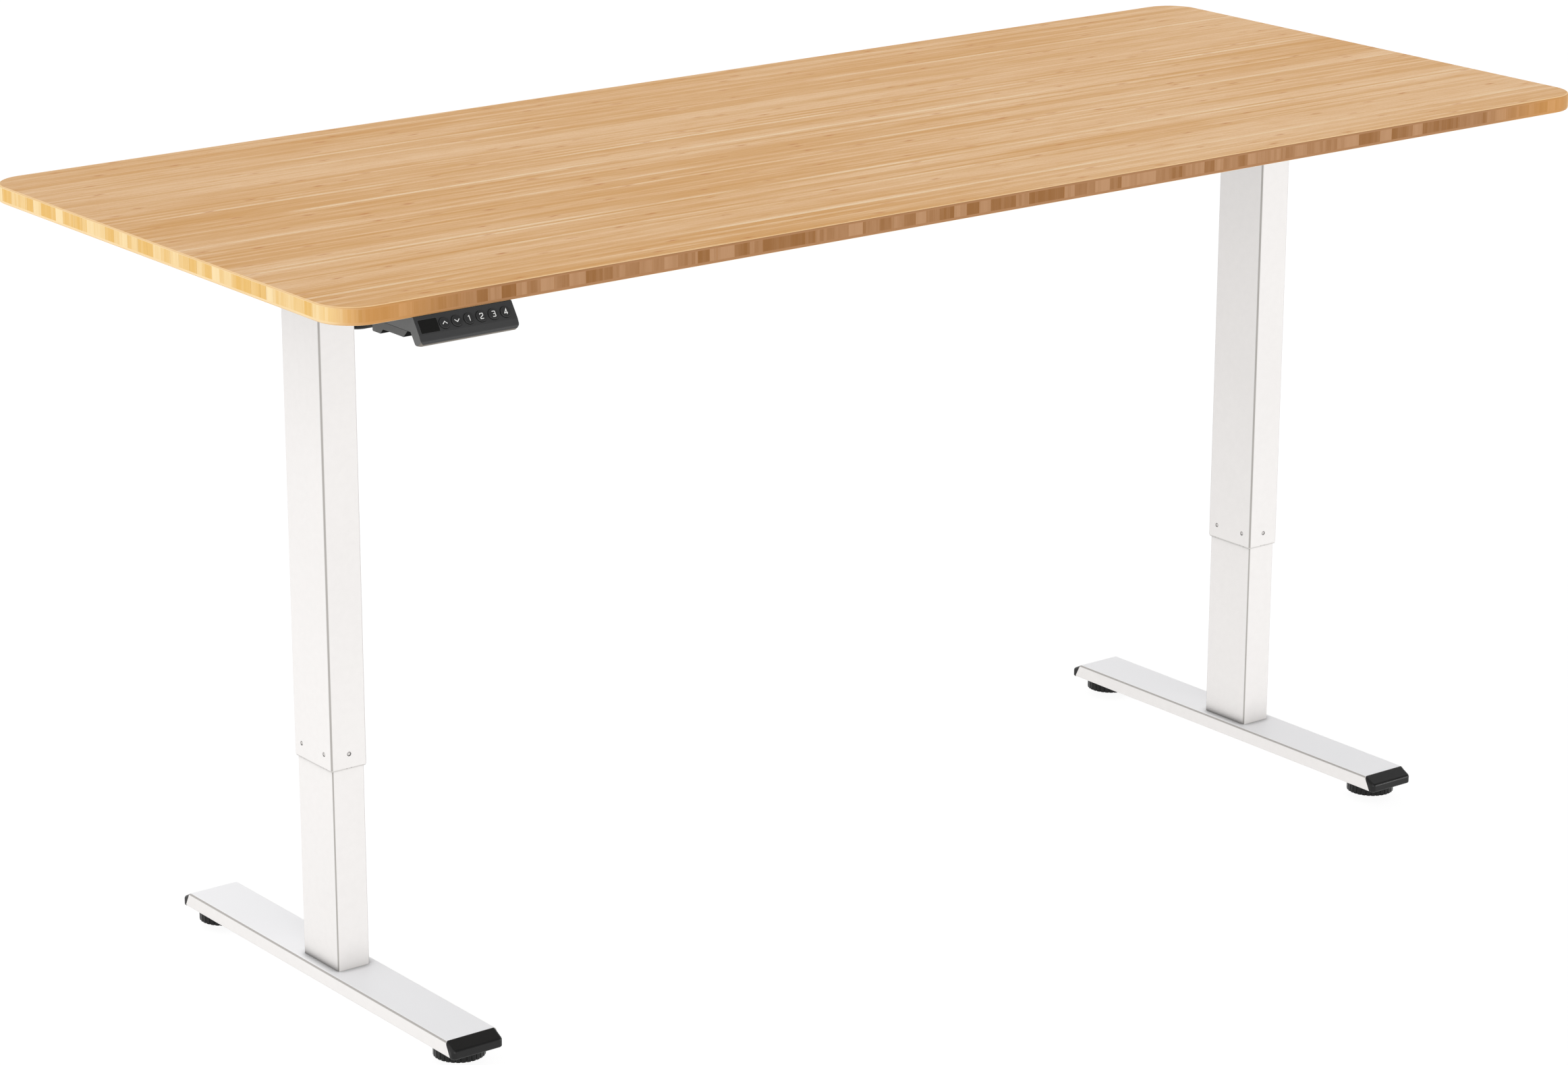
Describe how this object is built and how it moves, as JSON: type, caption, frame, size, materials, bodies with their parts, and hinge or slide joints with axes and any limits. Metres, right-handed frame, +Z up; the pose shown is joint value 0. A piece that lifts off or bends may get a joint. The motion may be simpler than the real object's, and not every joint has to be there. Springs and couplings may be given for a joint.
{
  "type": "height adjustable standing desk",
  "caption": "Bamboo-topped desk on two white telescopic columns with flat feet, raised and lowered by a motor, a cross shaft and screws from a front push-button handset.",
  "frame": {"origin": "on the floor, under the middle of the outline seen from above, which takes in the handset", "axes": "+X along the long edge to the right of a seated user, +Y away from the user, +Z up"},
  "size_m": [1.829, 0.776, 0.914],
  "materials": {
    "bamboo": "clear-lacquered bamboo strips, satin",
    "white_steel": "white satin powder coat",
    "white_plastic": "white moulded sliding plastic",
    "black_plastic": "black moulded plastic with a fine spark texture",
    "button_plastic": "black satin plastic with pale legends",
    "glide_plastic": "black ribbed moulded plastic on a steel stud",
    "nut_plastic": "natural white sliding plastic",
    "steel": "zinc-plated steel",
    "head_bolt_steel": "black oxide steel",
    "cast_aluminium": "die-cast aluminium",
    "motor_steel": "dark painted steel can",
    "socket_plastic": "black connector plastic",
    "board": "green circuit board",
    "display": "smoked glossy display window"
  },
  "bodies": {
    "base": {"foot_left": "white_steel", "foot_right": "white_steel", "inner_tube_left": "white_steel", "inner_tube_right": "white_steel", "upper_bush_left": "white_plastic", "upper_bush_right": "white_plastic", "drive_nut_left": "nut_plastic", "drive_nut_right": "nut_plastic", "column_end_plate_left": "steel", "column_end_plate_right": "steel", "foot_cap_left_front": "black_plastic", "foot_cap_left_back": "black_plastic", "foot_cap_right_front": "black_plastic", "foot_cap_right_back": "black_plastic", "levelling_inserts": "steel", "foot_bolts": "steel"},
    "desk": {"desktop": "bamboo", "outer_tube_left": "white_steel", "outer_tube_right": "white_steel", "lower_bush_left": "white_plastic", "lower_bush_right": "white_plastic", "gearbox_left": "cast_aluminium", "gearbox_right": "cast_aluminium", "side_bracket_left": "white_steel", "side_bracket_right": "white_steel", "bush_pins": "white_plastic", "crossbeam_front": "white_steel", "crossbeam_rear": "white_steel", "head_bolts": "head_bolt_steel", "beam_bolts": "head_bolt_steel", "bracket_screws": "steel", "motor_gearcase": "cast_aluminium", "motor": "motor_steel", "motor_cover": "black_plastic", "control_box_base": "black_plastic", "control_box_cover": "black_plastic", "control_board": "board", "control_sockets": "socket_plastic", "control_box_screws": "steel", "handset_body": "black_plastic", "handset_tray": "black_plastic", "handset_screws": "steel", "display_window": "display", "handset_board": "board", "button_switches": "socket_plastic"},
    "spindle_left": {"spindle_left": "steel"},
    "spindle_right": {"spindle_right": "steel"},
    "drive_shaft": {"drive_shaft": "steel"},
    "button_up": {"button_up": "button_plastic"},
    "button_down": {"button_down": "button_plastic"},
    "button_1": {"button_1": "button_plastic"},
    "button_2": {"button_2": "button_plastic"},
    "button_3": {"button_3": "button_plastic"},
    "button_4": {"button_4": "button_plastic"},
    "levelling_foot_left_front": {"levelling_foot_left_front": "glide_plastic"},
    "levelling_foot_left_back": {"levelling_foot_left_back": "glide_plastic"},
    "levelling_foot_right_front": {"levelling_foot_right_front": "glide_plastic"},
    "levelling_foot_right_back": {"levelling_foot_right_back": "glide_plastic"}
  },
  "joints": [
    {"name": "height", "type": "slide", "parent": "base", "child": "desk", "axis": [0, 0, 1], "range_m": [-0.205, 0.235]},
    {"name": "spindle_left_turn", "type": "hinge", "parent": "desk", "child": "spindle_left", "pos_m": [-0.711, 0.00051, 0.55], "axis": [0, 0, 1], "range_deg": [-9226, 10576]},
    {"name": "spindle_right_turn", "type": "hinge", "parent": "desk", "child": "spindle_right", "pos_m": [0.711, 0.00051, 0.55], "axis": [0, 0, 1], "range_deg": [-9226, 10576]},
    {"name": "drive_shaft_turn", "type": "hinge", "parent": "desk", "child": "drive_shaft", "pos_m": [0, 0.00051, 0.842], "axis": [1, 0, 0], "range_deg": [-9226, 10576]},
    {"name": "button_up_press", "type": "slide", "parent": "desk", "child": "button_up", "axis": [0, 0.829, -0.5592], "range_m": [0, 0.0008], "stiffness_N_per_m": 1900},
    {"name": "button_down_press", "type": "slide", "parent": "desk", "child": "button_down", "axis": [0, 0.829, -0.5592], "range_m": [0, 0.0008], "stiffness_N_per_m": 1900},
    {"name": "button_1_press", "type": "slide", "parent": "desk", "child": "button_1", "axis": [0, 0.829, -0.5592], "range_m": [0, 0.0008], "stiffness_N_per_m": 1900},
    {"name": "button_2_press", "type": "slide", "parent": "desk", "child": "button_2", "axis": [0, 0.829, -0.5592], "range_m": [0, 0.0008], "stiffness_N_per_m": 1900},
    {"name": "button_3_press", "type": "slide", "parent": "desk", "child": "button_3", "axis": [0, 0.829, -0.5592], "range_m": [0, 0.0008], "stiffness_N_per_m": 1900},
    {"name": "button_4_press", "type": "slide", "parent": "desk", "child": "button_4", "axis": [0, 0.829, -0.5592], "range_m": [0, 0.0008], "stiffness_N_per_m": 1900},
    {"name": "levelling_foot_left_front_screw", "type": "slide", "parent": "base", "child": "levelling_foot_left_front", "axis": [0, 0, -1], "range_m": [0, 0.01]},
    {"name": "levelling_foot_left_back_screw", "type": "slide", "parent": "base", "child": "levelling_foot_left_back", "axis": [0, 0, -1], "range_m": [0, 0.01]},
    {"name": "levelling_foot_right_front_screw", "type": "slide", "parent": "base", "child": "levelling_foot_right_front", "axis": [0, 0, -1], "range_m": [0, 0.01]},
    {"name": "levelling_foot_right_back_screw", "type": "slide", "parent": "base", "child": "levelling_foot_right_back", "axis": [0, 0, -1], "range_m": [0, 0.01]}
  ],
  "couplings": [
    {"joint": "spindle_left_turn", "follows": "height", "rad_per_m": 785.4},
    {"joint": "spindle_right_turn", "follows": "height", "rad_per_m": 785.4},
    {"joint": "drive_shaft_turn", "follows": "height", "rad_per_m": 785.4}
  ]
}
